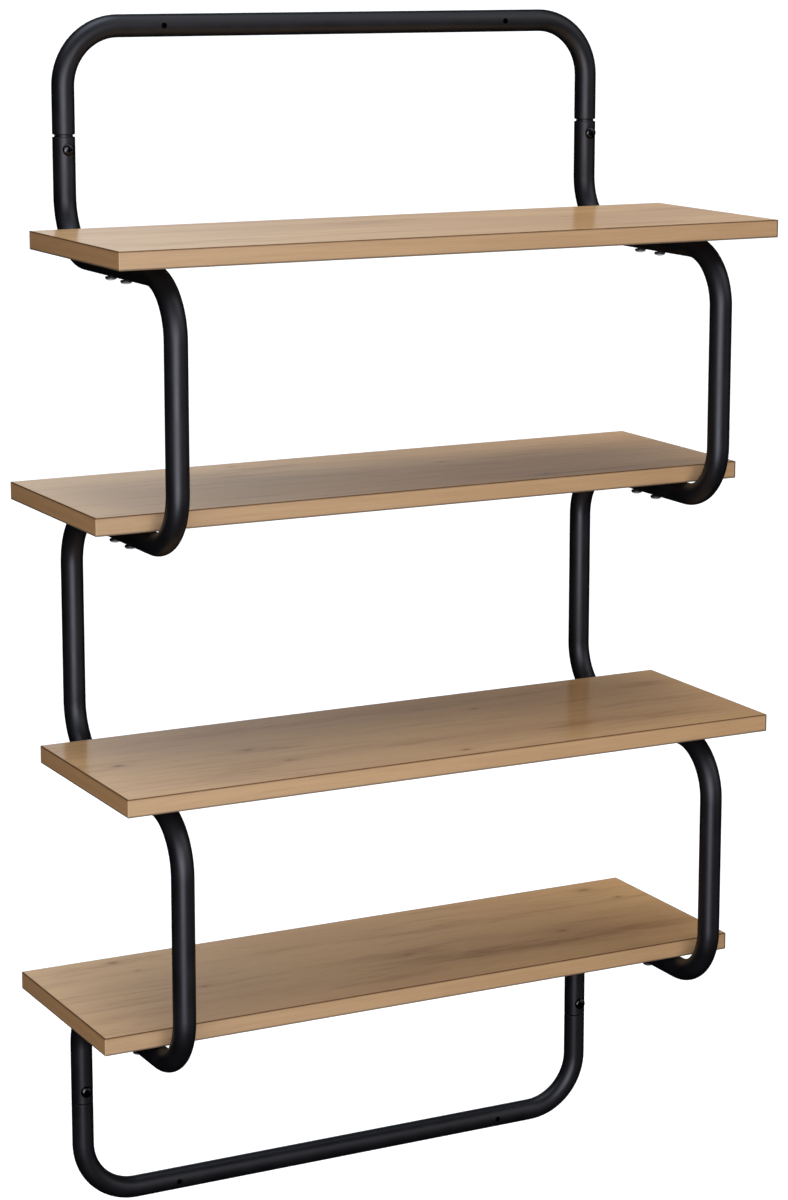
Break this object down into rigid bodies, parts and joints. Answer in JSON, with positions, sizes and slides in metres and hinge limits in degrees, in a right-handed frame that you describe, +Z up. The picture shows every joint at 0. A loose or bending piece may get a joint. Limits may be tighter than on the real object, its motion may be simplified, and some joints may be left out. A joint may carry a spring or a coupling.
{
  "type": "wall shelf",
  "caption": "Open wall shelf: staggered wood-look boards on two serpentine black steel side tubes joined by a bow at the top and at the bottom.",
  "frame": {"origin": "in the wall plane, midway between the axes of the top and bottom bars and midway between the side tubes", "axes": "+Z up, +Y into the wall, +X to the right for someone who faces the shelf"},
  "size_m": [0.6, 0.247, 1.0376],
  "materials": {
    "black_powder_coat": "satin powder coat",
    "oak_laminate": "semi-matt wood-look laminate on particle board, grain along X",
    "bright_zinc": "bright zinc plate",
    "black_zinc": "glossy black",
    "plain_steel": "bare steel"
  },
  "bodies": {
    "root": {"bottom_bow": "black_powder_coat", "joint_nut_bottom_left": "plain_steel", "joint_nut_bottom_right": "plain_steel", "joint_nut_top_left": "plain_steel", "joint_nut_top_right": "plain_steel", "joint_screw_bottom_left": "black_zinc", "joint_screw_bottom_right": "black_zinc", "joint_screw_top_left": "black_zinc", "joint_screw_top_right": "black_zinc", "shelf_1": "oak_laminate", "shelf_2": "oak_laminate", "shelf_3": "oak_laminate", "shelf_4": "oak_laminate", "shelf_screw_1_left_back": "bright_zinc", "shelf_screw_1_left_front": "bright_zinc", "shelf_screw_1_right_back": "bright_zinc", "shelf_screw_1_right_front": "bright_zinc", "shelf_screw_2_left_back": "bright_zinc", "shelf_screw_2_left_front": "bright_zinc", "shelf_screw_2_right_back": "bright_zinc", "shelf_screw_2_right_front": "bright_zinc", "shelf_screw_3_left_back": "bright_zinc", "shelf_screw_3_left_front": "bright_zinc", "shelf_screw_3_right_back": "bright_zinc", "shelf_screw_3_right_front": "bright_zinc", "shelf_screw_4_left_back": "bright_zinc", "shelf_screw_4_left_front": "bright_zinc", "shelf_screw_4_right_back": "bright_zinc", "shelf_screw_4_right_front": "bright_zinc", "side_tube_left": "black_powder_coat", "side_tube_right": "black_powder_coat", "top_bow": "black_powder_coat"}
  },
  "joints": []
}
